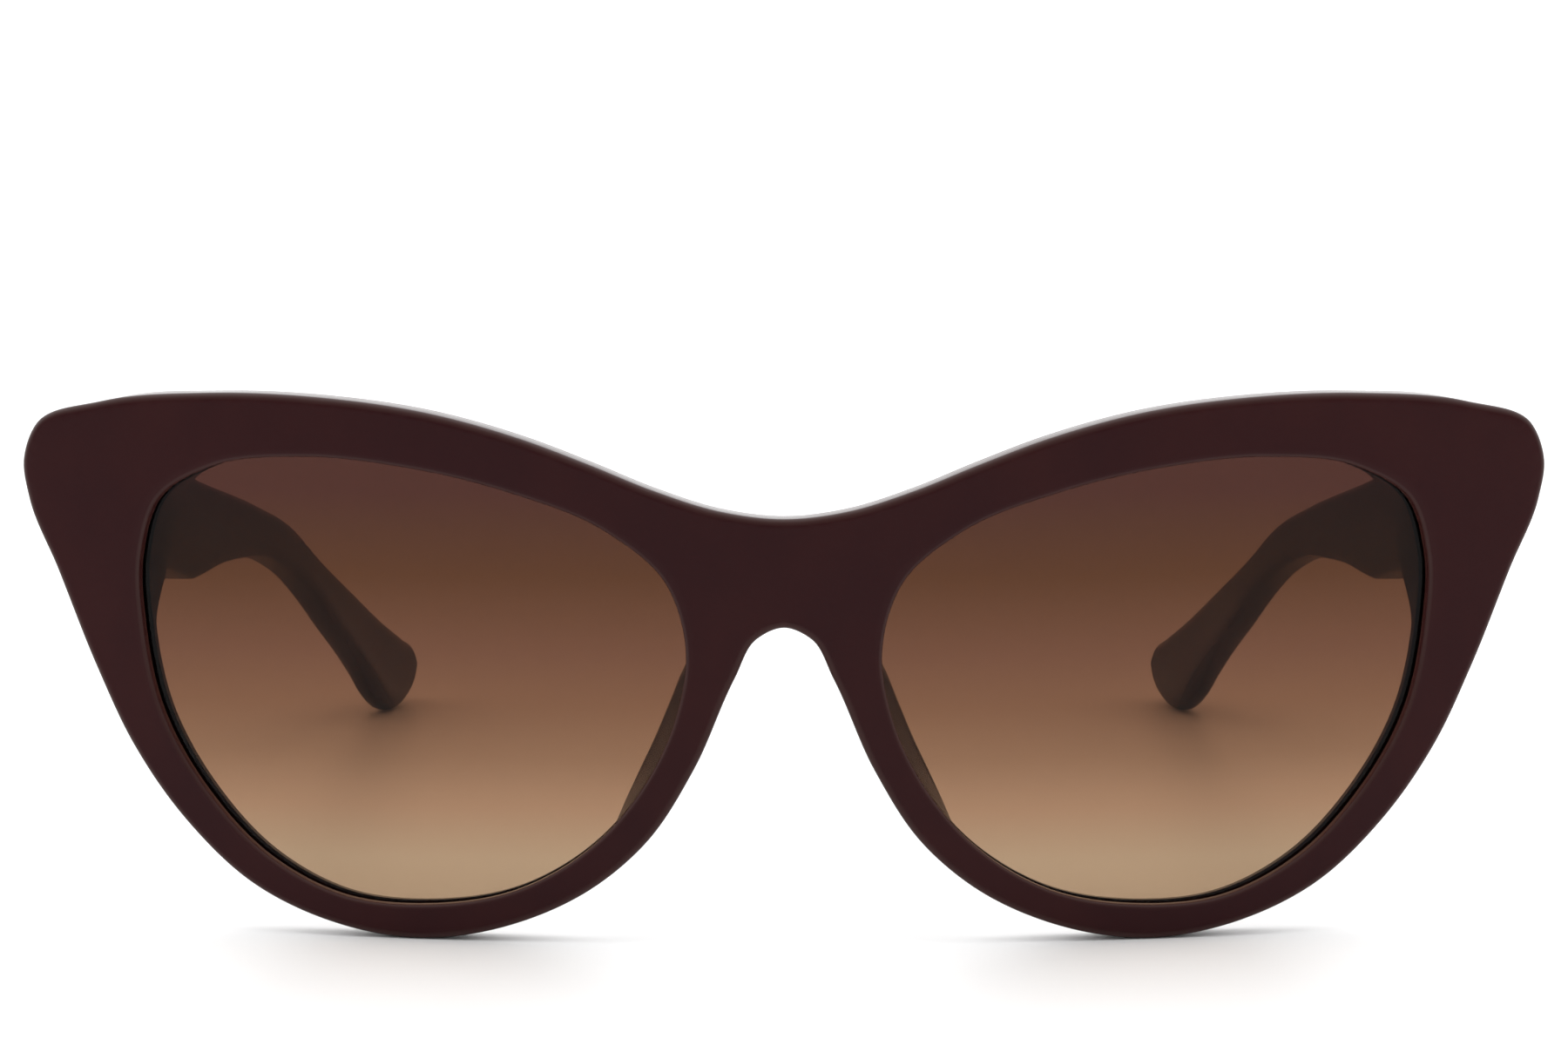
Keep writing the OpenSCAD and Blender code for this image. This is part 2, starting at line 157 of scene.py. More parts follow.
class SunglassesSizes(bpy.types.PropertyGroup):
    """Sizes of the acetate, the lenses and the hinges"""
    wrap_radius: length("Wrap radius", "Radius of the curve of the front round the face", 0.232)
    front_thickness: length("Front thickness", "Thickness of the front", 0.004)
    front_edge: length("Front edge", "Radius of the front's polished outer edge", 0.0007)
    opening_edge: length("Opening edge", "Radius of the edge round a lens", 0.0004)
    groove_depth: length("Groove depth", "Depth of the groove that holds a lens", 0.0008)
    lens_thickness: length("Lens thickness", "Thickness of a lens", 0.002)
    lens_clearance: length("Lens clearance", "Clearance round a lens in its groove", 0.00005)
    temple_thickness: length("Temple thickness", "Thickness of a temple at the hinge", 0.0044)
    tip_thickness: length("Tip thickness", "Thickness of a temple at its tip", 0.0034)
    tip_gap: length("Tip gap", "Distance between the tips of the temples", 0.095)
    temple_edge: length("Temple edge", "Radius of a temple's polished edges at the hinge", 0.0006)
    tip_edge: length("Tip edge", "Radius of a temple's polished edges at the tip", 0.0016)
    pad_depth: length("Pad depth", "How far a nose pad stands out behind the rim", 0.0065)
    plate_proud: length("Plate step", "How far a hinge plate stands out of the acetate", 0.00004)
    knuckle_radius: length("Knuckle radius", "Outer radius of a hinge knuckle", 0.0015)
    screw_radius: length("Screw radius", "Radius of the hinge screw's shank", 0.0007)


class SunglassesColours(bpy.types.PropertyGroup):
    """Colours of the acetate, the lenses and the metal"""
    acetate: colour("Acetate", "Body colour of the acetate", (0.0235, 0.0032, 0.0042))
    acetate_cloud: colour(
        "Cloud", "Colour of the faint clouds in the acetate", (0.0290, 0.0046, 0.0050))
    # painted highlight: a paler, redder colour given to the rounded edges in place of the light
    # they catch
    acetate_edge_highlight: colour(
        "Edge", "Colour of the acetate along its rounded edges", (0.0480, 0.0225, 0.0205))
    steel: colour("Steel", "Colour of the hinges and screws", (0.58, 0.57, 0.55))
    floor: colour("Floor", "Colour of the floor", (0.86, 0.86, 0.86))


# ---------------------------------------------------------------- curves in the plane

def spline(points, closed):
    """A smooth curve through points. Each tangent is the sum of the two chords that meet there,
    each divided by its length and weighted by the other's. Between two points runs the cubic
    that has those tangents, scaled by the chord's length."""
    chord = (np.roll(points, -1, 0) if closed else points[1:]) - points[: None if closed else -1]
    size = np.linalg.norm(chord, axis=1)[:, None]
    if closed:
        before, before_size = np.roll(chord, 1, 0), np.roll(size, 1, 0)
        tangent = (before * size / before_size + chord * before_size / size) / (size + before_size)
        start, end, m, k = points, np.roll(points, -1, 0), tangent, np.roll(tangent, -1, 0)
    else:
        a, b, h, g = chord[:-1], chord[1:], size[:-1], size[1:]
        inner = (a * g / h + b * h / g) / (h + g)
        tangent = np.vstack([chord[:1] / size[:1], inner, chord[-1:] / size[-1:]])
        start, end, m, k = points[:-1], points[1:], tangent[:-1], tangent[1:]
    t = np.linspace(0, 1, SPAN_POINTS, endpoint=False)[None, :, None]
    start, end, m, k, size = (v[:, None, :] for v in (start, end, m, k, size))
    curve = (start * (2 * t**3 - 3 * t**2 + 1) + m * size * (t**3 - 2 * t**2 + t)
             + end * (3 * t**2 - 2 * t**3) + k * size * (t**3 - t**2)).reshape(-1, 2)
    return curve if closed else np.vstack([curve, points[-1:]])


def along(curve, shares):
    """Points of an open curve at shares of its length."""
    run = np.append(0, np.cumsum(np.linalg.norm(np.diff(curve, axis=0), axis=1)))
    return np.stack([np.interp(shares * run[-1], run, curve[:, i]) for i in (0, 1)], 1)


def tightened(curve, count, pull):
    """Shares of a curve's length for count points that crowd where it bends: each step is
    weighted by one plus pull times its turn for each unit of length."""
    step = np.diff(curve, axis=0)
    size = np.linalg.norm(step, axis=1)
    angle = np.unwrap(np.arctan2(step[:, 1], step[:, 0]))
    bend = np.abs(np.gradient(angle)) / size
    margin = 12  # neighbours on each side that a bend is averaged over
    window = 2 * margin + 1
    smooth = np.convolve(np.pad(bend, margin, mode="edge"), np.ones(window) / window, "valid")
    weight = np.append(0, np.cumsum(size * (1 + pull * smooth)))
    run = np.append(0, np.cumsum(size))
    return np.interp(np.linspace(0, weight[-1], count), weight, run) / run[-1]


def outward(curve, closed):
    """At each point of a counterclockwise curve, the mitre that moves both of its sides out by
    one: the sum of their normals over one plus their product."""
    nxt, last = np.roll(curve, -1, 0) - curve, curve - np.roll(curve, 1, 0)
    normals = [np.stack([v[:, 1], -v[:, 0]], 1) / np.linalg.norm(v, axis=1)[:, None]
               for v in (last, nxt)]
    if not closed:
        normals[0][0], normals[1][-1] = normals[1][0], normals[0][-1]
    product = (normals[0] * normals[1]).sum(1, keepdims=True)
    return (normals[0] + normals[1]) / (1 + product)


def quarter(steps):
    """A quarter of a unit circle as (in from the wall, down from the face), wall first."""
    angle = np.linspace(0, math.pi / 2, steps + 1)
    return np.stack([1 - np.cos(angle), 1 - np.sin(angle)], 1)


def ridge(count):
    """Shares over a rounded corner: half a sine, from a tenth on its flanks to one on its ridge."""
    return 0.1 + 0.9 * np.sin(np.linspace(0, math.pi, count))


def smooth_step(low, high, values):
    """Rises from 0 at low to 1 at high along a cubic with level ends."""
    t = np.clip((values - low) / (high - low), 0, 1)
    return t * t * (3 - 2 * t)


# ---------------------------------------------------------------- meshes

def grid_faces(rows, columns, first, closed):
    """Quads between neighbours of a grid of points, numbered row by row."""
    across = columns if closed else columns - 1
    r, c = np.meshgrid(np.arange(rows - 1), np.arange(across), indexing="ij")
    a, b = r * columns + c, r * columns + (c + 1) % columns
    return np.stack([a, b, b + columns, a + columns], -1).reshape(-1, 4) + first


def piece(name, patches, side=1, sharp=35, attribute=None):
    """One mesh from patches, each (grid of points, closed or not[, values of the attribute]).
    The patches' shared edges are merged, a left piece is mirrored for the right, and the normals
    are made to face outwards."""
    points, faces, values, first = [], [], [], 0
    for patch in patches:
        grid, closed = patch[0], patch[1]
        rows, columns = grid.shape[:2]
        points.append(grid.reshape(-1, 3))
        faces.append(grid_faces(rows, columns, first, closed))
        level = patch[2] if len(patch) > 2 else np.zeros((rows, columns))
        values.append(np.broadcast_to(level, (rows, columns)).reshape(-1))
        first += rows * columns
    points = np.vstack(points) * [side, 1, 1]
    mesh = bpy.data.meshes.new(name)
    mesh.from_pydata(points, [], np.vstack(faces))
    if attribute:
        mesh.attributes.new(attribute, "FLOAT", "POINT").data.foreach_set(
            "value", np.concatenate(values).astype(np.float32))
    mesh.shade_smooth()
    made = bmesh.new()
    made.from_mesh(mesh)
    bmesh.ops.remove_doubles(made, verts=made.verts, dist=MERGE)
    bmesh.ops.recalc_face_normals(made, faces=made.faces)
    made.to_mesh(mesh)
    made.free()
    mesh.set_sharp_from_angle(angle=math.radians(sharp))
    shape = bpy.data.objects.new(name, mesh)
    bpy.context.scene.collection.objects.link(shape)
    return shape


def block(low, high, edge, steps=4):
    """A box with round edges, as a function of longitude and latitude: each eighth of a sphere
    moved out to its corner. The ends are closed by rows that shrink to their middle."""
    low, high = np.array(low, float), np.array(high, float)
    half, middle = (high - low) / 2, (high + low) / 2
    fan = np.linspace(0, math.pi / 2, steps + 1)
    turn = np.concatenate([q * math.pi / 2 + fan for q in range(4)])
    sign_x = np.repeat([1, -1, -1, 1], steps + 1)
    sign_y = np.repeat([1, 1, -1, -1], steps + 1)
    rise = np.concatenate([fan - math.pi / 2, fan])[:, None]
    sign_z = np.repeat([-1, 1], steps + 1)[:, None]
    x = sign_x * (half[0] - edge) + edge * np.cos(rise) * np.cos(turn)
    y = sign_y * (half[1] - edge) + edge * np.cos(rise) * np.sin(turn)
    z = sign_z * (half[2] - edge) + edge * np.sin(rise) + 0 * turn
    grid = np.stack([x, y, z], -1)
    cap = grid[[0, -1]] * [0, 0, 1]
    return np.vstack([cap[:1], grid, cap[1:]]) + middle, True


def turned_ring(profile, axis, steps=48):
    """A closed profile of (radius, height) carried round a vertical axis."""
    turn = np.linspace(0, 2 * math.pi, steps, endpoint=False)[:, None]
    profile = np.vstack([profile, profile[:1]])
    x = axis[0] + profile[:, 0] * np.cos(turn)
    y = axis[1] + profile[:, 0] * np.sin(turn)
    z = axis[2] + profile[:, 1] + 0 * turn
    return np.stack([x, y, z], -1).transpose(1, 0, 2), True


# ---------------------------------------------------------------- materials

class Value:
    """A number or colour that varies over a surface; arithmetic on it adds Math nodes."""

    def __init__(self, shader, socket):
        self.shader, self.socket = shader, socket

    def with_other(self, operation, other, swapped=False):
        """The value of one operation on this value and another, in either order."""
        pair = (other, self) if swapped else (self, other)
        return self.shader.node("ShaderNodeMath", {"operation": operation}, dict(enumerate(pair)))

    def __add__(self, other):
        return self.with_other("ADD", other)

    __radd__ = __add__

    def __sub__(self, other):
        return self.with_other("SUBTRACT", other)

    def __rsub__(self, other):
        return self.with_other("SUBTRACT", other, True)

    def __mul__(self, other):
        return self.with_other("MULTIPLY", other)

    __rmul__ = __mul__

    def __truediv__(self, other):
        return self.with_other("DIVIDE", other)

    def __rtruediv__(self, other):
        return self.with_other("DIVIDE", other, True)

    def __pow__(self, other):
        return self.with_other("POWER", other)


class Shader:
    """A material with one Principled shader, and the one method that adds its other nodes."""

    def __init__(self, name):
        self.material = bpy.data.materials.new(name)
        self.material.use_nodes = True
        self.tree = self.material.node_tree
        self.surface = self.tree.nodes["Principled BSDF"]

    def put(self, socket, value):
        """Links a value to a socket, or sets the socket to a number or a colour."""
        if isinstance(value, Value):
            self.tree.links.new(value.socket, socket)
        elif hasattr(socket.default_value, "__len__"):
            socket.default_value = (*value, 1)[: len(socket.default_value)]
        else:
            socket.default_value = value

    def node(self, kind, settings=None, inputs=None, output=0):
        """A node of this kind with its settings, then the values or links of its sockets."""
        made = self.tree.nodes.new(kind)
        for key, value in (settings or {}).items():
            if key == "stops":
                ramp = made.color_ramp.elements
                while len(ramp) < len(value):
                    ramp.new(1)
                for stop, (position, shade) in zip(ramp, value):
                    stop.position, stop.color = position, (*shade, 1)
            else:
                setattr(made, key, value)
        for key, value in (inputs or {}).items():
            self.put(made.inputs[key], value)
        return Value(self, made.outputs[output])

    def set(self, **inputs):
        """Sets or links inputs of the Principled shader by name."""
        for key, value in inputs.items():
            self.put(self.surface.inputs[key.replace("_", " ")], value)

    def place(self):
        """The place on the piece, in its own coordinates."""
        return self.node("ShaderNodeTexCoord", output="Object")

    def noise(self, scale, detail=2.0, stretch=(1, 1, 1)):
        """Noise with so many cells to a metre, scaled along each axis by stretch."""
        spot = self.node("ShaderNodeMapping", {}, {"Vector": self.place(), "Scale": stretch})
        return self.node(
            "ShaderNodeTexNoise", {}, {"Vector": spot, "Scale": scale, "Detail": detail})

    def ramp(self, value, stops):
        """The colour that runs evenly from stop to stop, each (value, colour)."""
        return self.node("ShaderNodeValToRGB", {"stops": stops}, {"Fac": value})

    def blend(self, share, a, b):
        """The colour that is a at share 0 and b at share 1."""
        made = self.node("ShaderNodeMix", {"data_type": "RGBA"}, output=2)
        node = made.socket.node
        for index, value in ((0, share), (6, a), (7, b)):
            self.put(node.inputs[index], value)
        return made

    def bump(self, height, strength, distance):
        """Normals tilted by a height, where a height of one stands for a distance in metres."""
        return self.node("ShaderNodeBump", {}, {
            "Height": height, "Strength": strength, "Distance": distance})


def acetate_material(colours):
    """Polished cellulose acetate: near-black burgundy with faint clouds, with a painted highlight
    that makes it paler and redder along its rounded edges, a buffed surface with a slow orange-peel
    wave and very fine polishing marks."""
    shader = Shader("polished_acetate")
    clouds = shader.ramp(shader.noise(95, 3, (1, 1.4, 0.7)), [(0.38, (0, 0, 0)), (0.66, (1, 1, 1))])
    body = shader.blend(clouds, tuple(colours.acetate), tuple(colours.acetate_cloud))
    # the edge attribute holds the strength of a painted highlight along the rounded edges, varied a
    # little by noise
    edge = shader.node("ShaderNodeAttribute", {"attribute_name": "edge"}, output="Fac")
    edge_highlight = edge * (0.7 + 0.3 * shader.noise(420, 2))
    marks = shader.noise(1400, 2)
    wave = shader.noise(260, 1)
    shader.set(
        # base colour: the clouded body, with the painted edge highlight blended in
        Base_Color=shader.blend(edge_highlight, body, tuple(colours.acetate_edge_highlight)),
        Roughness=0.2 + 0.03 * marks + 0.03 * clouds_share(shader, clouds),
        Normal=shader.bump(wave + marks * 0.02, 0.03, 0.0002),
        IOR=1.48,
        Specular_IOR_Level=0.12,
    )
    return shader.material


def clouds_share(shader, clouds):
    """The brightness of a grey ramp as a number."""
    return shader.node("ShaderNodeRGBToBW", {}, {"Color": clouds})


LENS_TOP = 50 * MM  # the height at the top end of the colour ramp
LENS_STOPS = (
    (7.6, (0.3344, 0.2281, 0.1415)), (12.7, (0.2807, 0.1622, 0.0955)),
    (17.7, (0.1987, 0.1053, 0.059)), (22.8, (0.1503, 0.0714, 0.0386)),
    (27.8, (0.1187, 0.052, 0.0295)), (35.4, (0.0751, 0.0294, 0.0133)),
    (40.4, (0.0622, 0.0239, 0.014)), (43.5, (0.056, 0.0199, 0.0144)),
)


def lens_material():
    """Tinted plastic, dipped: brown-black at the brow, fading evenly to amber at the cheek."""
    shader = Shader("graded_lens")
    height = shader.node("ShaderNodeSeparateXYZ", {}, {"Vector": shader.place()}, output="Z")
    drift = shader.noise(28, 1) * 0.012 - 0.006
    stops = [(z * MM / LENS_TOP, shade) for z, shade in LENS_STOPS]
    shader.set(
        Base_Color=shader.ramp(height / LENS_TOP + drift, stops),
        Transmission_Weight=1.0,
        Roughness=0.0,
        IOR=1.2,
    )
    return shader.material


def steel_material(colours, name, grain):
    """Brushed steel: a fine upright grain that scores and roughens it, and faint stains."""
    shader = Shader(name)
    lines = shader.noise(grain, 3, (1, 1, 0.06))
    stain = shader.ramp(shader.noise(700, 2), [(0.35, (0, 0, 0)), (0.7, (1, 1, 1))])
    dark = tuple(0.72 * c for c in colours.steel)
    shader.set(
        Base_Color=shader.blend(stain, dark, tuple(colours.steel)),
        Metallic=1.0,
        Roughness=0.24 + 0.2 * lines,
        Normal=shader.bump(lines, 0.25, 0.00002),
    )
    return shader.material


def floor_material(colours):
    """Matt white board with a faint sheen."""
    shader = Shader("pale_floor")
    shader.set(
        Base_Color=shader.blend(
            shader.noise(6, 2), tuple(colours.floor), tuple(0.985 * c for c in colours.floor)),
        Roughness=0.42 + 0.06 * shader.noise(40, 2),
        Specular_IOR_Level=0.35,
    )
    return shader.material


def finish_piece(shape, body, nodes, material):
    """Gives a piece its material, its body and the CAD nodes it stands for."""
    shape.data.materials.append(material)
    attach(shape, body)
    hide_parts(*nodes)


def shared(name, make):
    """A material by name, made when it is first asked for."""
    return bpy.data.materials.get(name) or make()


def acetate(context):
    """The one acetate of the front, the pads and the temples."""
    return shared("polished_acetate", lambda: acetate_material(context.scene.sunglasses_colours))


# ---------------------------------------------------------------- the front

def wrapped(sheet, depth, sizes):
    """Points at a depth under the front's face: x of the flat sheet is turned round an upright
    axis behind the bridge, so the walls stay square to the curved face. x keeps its size just
    under the rounded edge, where the outline is widest."""
    radius = sizes.wrap_radius
    sine = sheet[..., 0] / (radius - sizes.front_edge)
    reach = radius - depth
    return np.stack([
        reach * sine,
        FRONT_Y + radius - reach * np.sqrt(1 - sine**2),
        FRONT_LOW[2] + sheet[..., 1] + 0 * reach,
    ], -1)


def sheet_depth(sheet, sizes):
    """Thickness of the front: even, but it grows to the flat rear face of the wings near the
    hinge, with soft shoulders on the side of the lens, above and below."""
    radius = sizes.wrap_radius
    cosine = np.sqrt(1 - (sheet[..., 0] / (radius - sizes.front_edge)) ** 2)
    flat = radius - (radius - (BUTT_Y - FRONT_Y)) / cosine
    x, z = sheet[..., 0], sheet[..., 1]
    block_share = (smooth_step(*BLOCK_SIDE, x) * smooth_step(*BLOCK_FOOT, z)
                   * (1 - smooth_step(*BLOCK_TOP, z)))
    even = sizes.front_thickness
    return even + np.maximum(flat - even, 0) * block_share


def front_columns(sizes, count=300, rungs=16):
    """For each column round a lens: a point and normal of the outer outline, and of the opening
    on the same ray from the opening's middle. The last rungs lie on the middle of the bridge."""
    mirrored = FRONT_HALF[-2:0:-1] * [-1, 1]
    whole = spline(np.vstack([FRONT_HALF, mirrored]), True)
    half = whole[: (len(FRONT_HALF) - 1) * SPAN_POINTS + 1]
    outline = along(half, tightened(half, count, pull=0.006))
    outline[[0, -1], 0] = 0
    out = outward(outline, False)
    out[[0, -1]] = [[0, -1], [0, 1]]
    inset = outline - out * sizes.front_edge
    bridge = np.linspace(inset[-1], inset[0], rungs + 2)[1:-1]
    ring = np.vstack([inset, bridge])

    opening = spline(OPENING, True)
    normal = outward(opening, True)
    angle = np.unwrap(np.arctan2(*(opening - OPENING_MIDDLE).T[::-1]))
    turn = 2 * math.pi
    rays = np.unwrap(np.arctan2(*(ring - OPENING_MIDDLE).T[::-1]))
    steps = np.linalg.norm(np.roll(ring, -1, 0) - ring, axis=1)
    even = rays[0] + turn * np.append(0, np.cumsum(steps)[:-1]) / steps.sum()
    evened = 0.25  # how far the rays are moved towards steps of one size
    rays = (1 - evened) * rays + evened * even
    lens = np.stack([np.interp(rays, angle, opening[:, i], period=turn) for i in (0, 1)], 1)
    away = np.stack([np.interp(rays, angle, normal[:, i], period=turn) for i in (0, 1)], 1)
    away /= np.linalg.norm(away, axis=1)[:, None]
    return outline, out, ring, lens, away


def front_shell(sizes):
    """The front as three patches for each half: the face and the back are rings between the
    opening and the outline, and the outer edge is a band with two rounded corners."""
    outline, out, ring, lens, away = front_columns(sizes)
    edge, lip_edge = sizes.front_edge, sizes.opening_edge
    corner = quarter(6)
    lip = (sizes.front_thickness - sizes.lens_thickness) / 2
    spread = np.linspace(0, 1, 15)[1:, None, None]

    def rings(from_front):
        """From the wall of the opening over its rounded edge to the outline's inset loop."""
        band = lens + away * (lip_edge * corner[:, 0])[:, None, None]
        face = band[-1] + (ring - band[-1]) * spread
        sheet = np.vstack([band, face])
        fall = np.append(corner[:, 1] * lip_edge, np.zeros(len(spread)))[:, None]
        # strength of the painted edge highlight: most on the rounded edge round the opening, none
        # on the flat face
        edge_highlight = np.append(ridge(len(corner)), np.zeros(len(spread)))[:, None]
        depth = fall + 0 * sheet[..., 0] if from_front else sheet_depth(sheet, sizes) - fall
        return sheet, depth, edge_highlight

    face, face_depth, edge_highlight = rings(True)
    back, back_depth, _ = rings(False)
    groove = np.stack([lens, lens, lens + away * sizes.groove_depth])
    ledge = np.array([lip_edge, lip, lip])[:, None]
    rear_ledge = np.array([0, sizes.front_thickness - lip, sizes.front_thickness - lip])[:, None]
    near = ledge + 0 * groove[..., 0]
    far = np.where(np.arange(3)[:, None] == 0, back_depth[0], rear_ledge)
    walls = np.vstack([groove, groove[::-1]])
    wall_depth = np.vstack([near, far[::-1]])

    band = outline - out * (edge * corner[:, 0])[:, None, None]
    under = sheet_depth(band, sizes)
    outer = np.vstack([band[::-1], band])
    outer_depth = np.vstack([
        (corner[::-1, 1] * edge)[:, None] + 0 * under, under - (corner[:, 1] * edge)[:, None]])
    # painted edge highlight on the rounded outer edge, strongest on its ridge
    outer_highlight = np.tile(ridge(len(corner)), 2)
    # a little painted edge highlight on the walls of the lens opening
    wall_highlight = 0.3
    patches = []
    for side in SIDES.values():
        flip = np.array([side, 1, 1])
        patches += [
            (wrapped(face, face_depth, sizes) * flip, True, edge_highlight),
            (wrapped(walls, wall_depth, sizes) * flip, True, wall_highlight),
            (wrapped(back, back_depth, sizes) * flip, True, edge_highlight),
            (wrapped(outer, outer_depth, sizes) * flip, False, outer_highlight[:, None]),
        ]
    return patches


def lens_shell(sizes):
    """A lens as a ring grid: its outline shrinks to a pole on the face and on the back."""
    opening = spline(OPENING, True)
    opening = along(np.vstack([opening, opening[:1]]), np.linspace(0, 1, 260, endpoint=False))
    rim = opening + outward(opening, True) * (sizes.groove_depth - sizes.lens_clearance)
    share = np.array([0, 0.12, 0.28, 0.44, 0.6, 0.75, 0.88, 0.96, 1])[:, None, None]
    sheet = OPENING_MIDDLE + (rim - OPENING_MIDDLE) * share
    lip = (sizes.front_thickness - sizes.lens_thickness) / 2 + sizes.lens_clearance
    flat = np.zeros(sheet.shape[:2])
    grid = np.vstack([
        wrapped(sheet, flat + lip, sizes),
        wrapped(sheet, flat + sizes.front_thickness - lip, sizes)[::-1],
    ])
    return [(grid, True)]


def pad_shell(sizes):
    """A nose pad: its crescent outline closes onto its middle line along a soft dome, which
    stands out from the rim, splayed sideways, and is rounded from top to bottom."""
    shares = np.linspace(0, 1, 40)
    outer, nasal = (along(spline(p, False), shares) for p in (PAD_OUTER, PAD_NASAL))
    middle = (outer + nasal) / 2
    loop = np.vstack([outer, nasal[-2:0:-1]])
    spine = np.vstack([middle, middle[-2:0:-1]])
    angle = np.linspace(0, math.pi / 2, 12)[:, None]
    shrink, rise = np.cos(angle) ** 0.7, np.sin(angle) ** 0.8
    sheet = spine + (loop - spine) * shrink[..., None]
    seat_depth = sizes.front_thickness - PAD_SEAT
    seat = wrapped(sheet, seat_depth + 0 * sheet[..., 0], sizes)
    from_middle = (spine[:, 1] - PAD_MIDDLE) / PAD_REACH
    height = (sizes.pad_depth + PAD_CROWN) * np.sqrt(np.clip(1 - from_middle**2, 0.01, 1))
    lift = rise * height
    splayed = np.stack([lift * math.sin(PAD_SPLAY), lift * math.cos(PAD_SPLAY), 0 * lift], -1)
    base = wrapped(spine[None], seat_depth + 0 * spine[None, :, 0], sizes)
    return [(np.vstack([base, seat + splayed]), True)]


# ---------------------------------------------------------------- the temples

def temple_inner(back, sizes):
    """x of a temple's inner face at a distance back from its hinge end."""
    reach = TEMPLE_HIGH[1] - TEMPLE_LOW[1]
    inner = TEMPLE_HIGH[0] - sizes.temple_thickness
    plan = spline(TEMPLE_PLAN, False)
    share = np.interp(back / reach, plan[:, 0], plan[:, 1])
    return sizes.tip_gap / 2 + (inner - sizes.tip_gap / 2) * share


def temple_shell(sizes):
    """A temple as two faces between its lower and its upper edge, and a band all round with two
    rounded corners whose radius grows to the tip."""
    near, far = 44, 130
    crowd = 1 - (1 - np.linspace(0, 1, far + 1)) ** 1.35  # closer together towards the tip
    whole = spline(np.vstack([TEMPLE_LOWER, TEMPLE_UPPER[-2::-1]]), False)
    tip = (len(TEMPLE_LOWER) - 1) * SPAN_POINTS
    lower_curve, upper_curve = whole[: tip + 1], whole[tip:][::-1]
    lower = np.vstack([
        np.linspace(TEMPLE_LOWER_START, TEMPLE_LOWER[0], near, endpoint=False),
        along(lower_curve, crowd),
    ])
    upper = np.vstack([
        along(upper_curve[: SPAN_POINTS + 1], np.linspace(0, 1, near, endpoint=False)),
        along(upper_curve[SPAN_POINTS:], crowd),
    ])
    butt = np.linspace(upper[0], lower[0], 12)[1:-1]
    loop = np.vstack([lower, upper[-2::-1], butt])
    out = outward(loop, True)
    reach = TEMPLE_HIGH[1] - TEMPLE_LOW[1]
    butt_edge, fade = 0.35 * MM, 3 * MM  # the edge at the butt end, and how far back it grows
    grown = sizes.temple_edge + (sizes.tip_edge - sizes.temple_edge) * loop[:, 0] / reach
    edge = butt_edge + (grown - butt_edge) * smooth_step(0, fade, loop[:, 0])
    corner = quarter(6)

    def inset(share):
        """The loop moved in by a share of the edge's radius, its butt end kept straight."""
        moved = loop - out * (edge * share)[:, None]
        moved[-len(butt):] = np.linspace(moved[-len(butt) - 1], moved[0], len(butt) + 2)[1:-1]
        return moved

    band = np.stack([inset(share) for share in corner[:, 0]])
    joined = len(lower)
    low_edge, high_edge = band[-1, :joined], band[-1, joined - 1: 2 * joined - 1][::-1]
    rungs = np.linspace(high_edge, low_edge, len(butt) + 2).transpose(1, 0, 2)

    def placed(side_view, fall, outer):
        """Points of the outer or inner face from their side view, moved in by their fall."""
        back, height = side_view[..., 0], side_view[..., 1]
        thick = sizes.temple_thickness + (
            sizes.tip_thickness - sizes.temple_thickness) * back / reach
        inner = temple_inner(back, sizes)
        x = inner + thick - fall if outer else inner + fall
        return np.stack([x, TEMPLE_LOW[1] + back, TEMPLE_LOW[2] + height], -1)

    fall = corner[:, 1][:, None] * edge
    # strength of the painted edge highlight along the temple's rounded edges, strongest on their
    # ridges
    ends = np.tile(ridge(len(corner)), 2)[:, None]
    return [
        (placed(rungs, 0, True), False),
        (placed(rungs, 0, False), False),
        (np.vstack([placed(band, fall, False)[::-1], placed(band, fall, True)]), True, ends),
    ]


# ---------------------------------------------------------------- the hinges

def barrel(level, bore, sizes):
    """One knuckle: a ring with chamfered ends round the screw."""
    pitch, height = knuckle_steps()
    low = HINGE_LOW[2] + level * pitch
    chamfer = 0.12 * MM
    radius = sizes.knuckle_radius
    profile = np.array([
        [bore, 0], [radius - chamfer, 0], [radius, chamfer],
        [radius, height - chamfer], [radius - chamfer, height], [bore, height],
    ])
    return turned_ring(profile, (PIVOT[0], PIVOT[1], low))


def knuckle_steps():
    """From one knuckle to the next, and a knuckle's height: five fill the height of the hinge,
    with gaps a seventh of a knuckle high between."""
    height = (HINGE_HIGH[2] - HINGE_LOW[2]) / (5 + 4 / 7)
    return height * 8 / 7, height


def rivet(centre, direction):
    """A rivet's low domed head on a plate: a profile turned about its own axis."""
    radius, rise = 0.8 * MM, 0.11 * MM
    angle = np.linspace(0, math.pi / 2, 7)
    profile = np.stack([radius * np.cos(angle), rise * np.sin(angle)], 1)
    profile = np.vstack([[[0, -2 * rise]], [[radius, -2 * rise]], profile])
    ring, closed = turned_ring(profile, (0, 0, 0), 32)
    turn = np.array(Vector((0, 0, 1)).rotation_difference(Vector(direction)).to_matrix())
    return ring @ turn.T + centre, closed


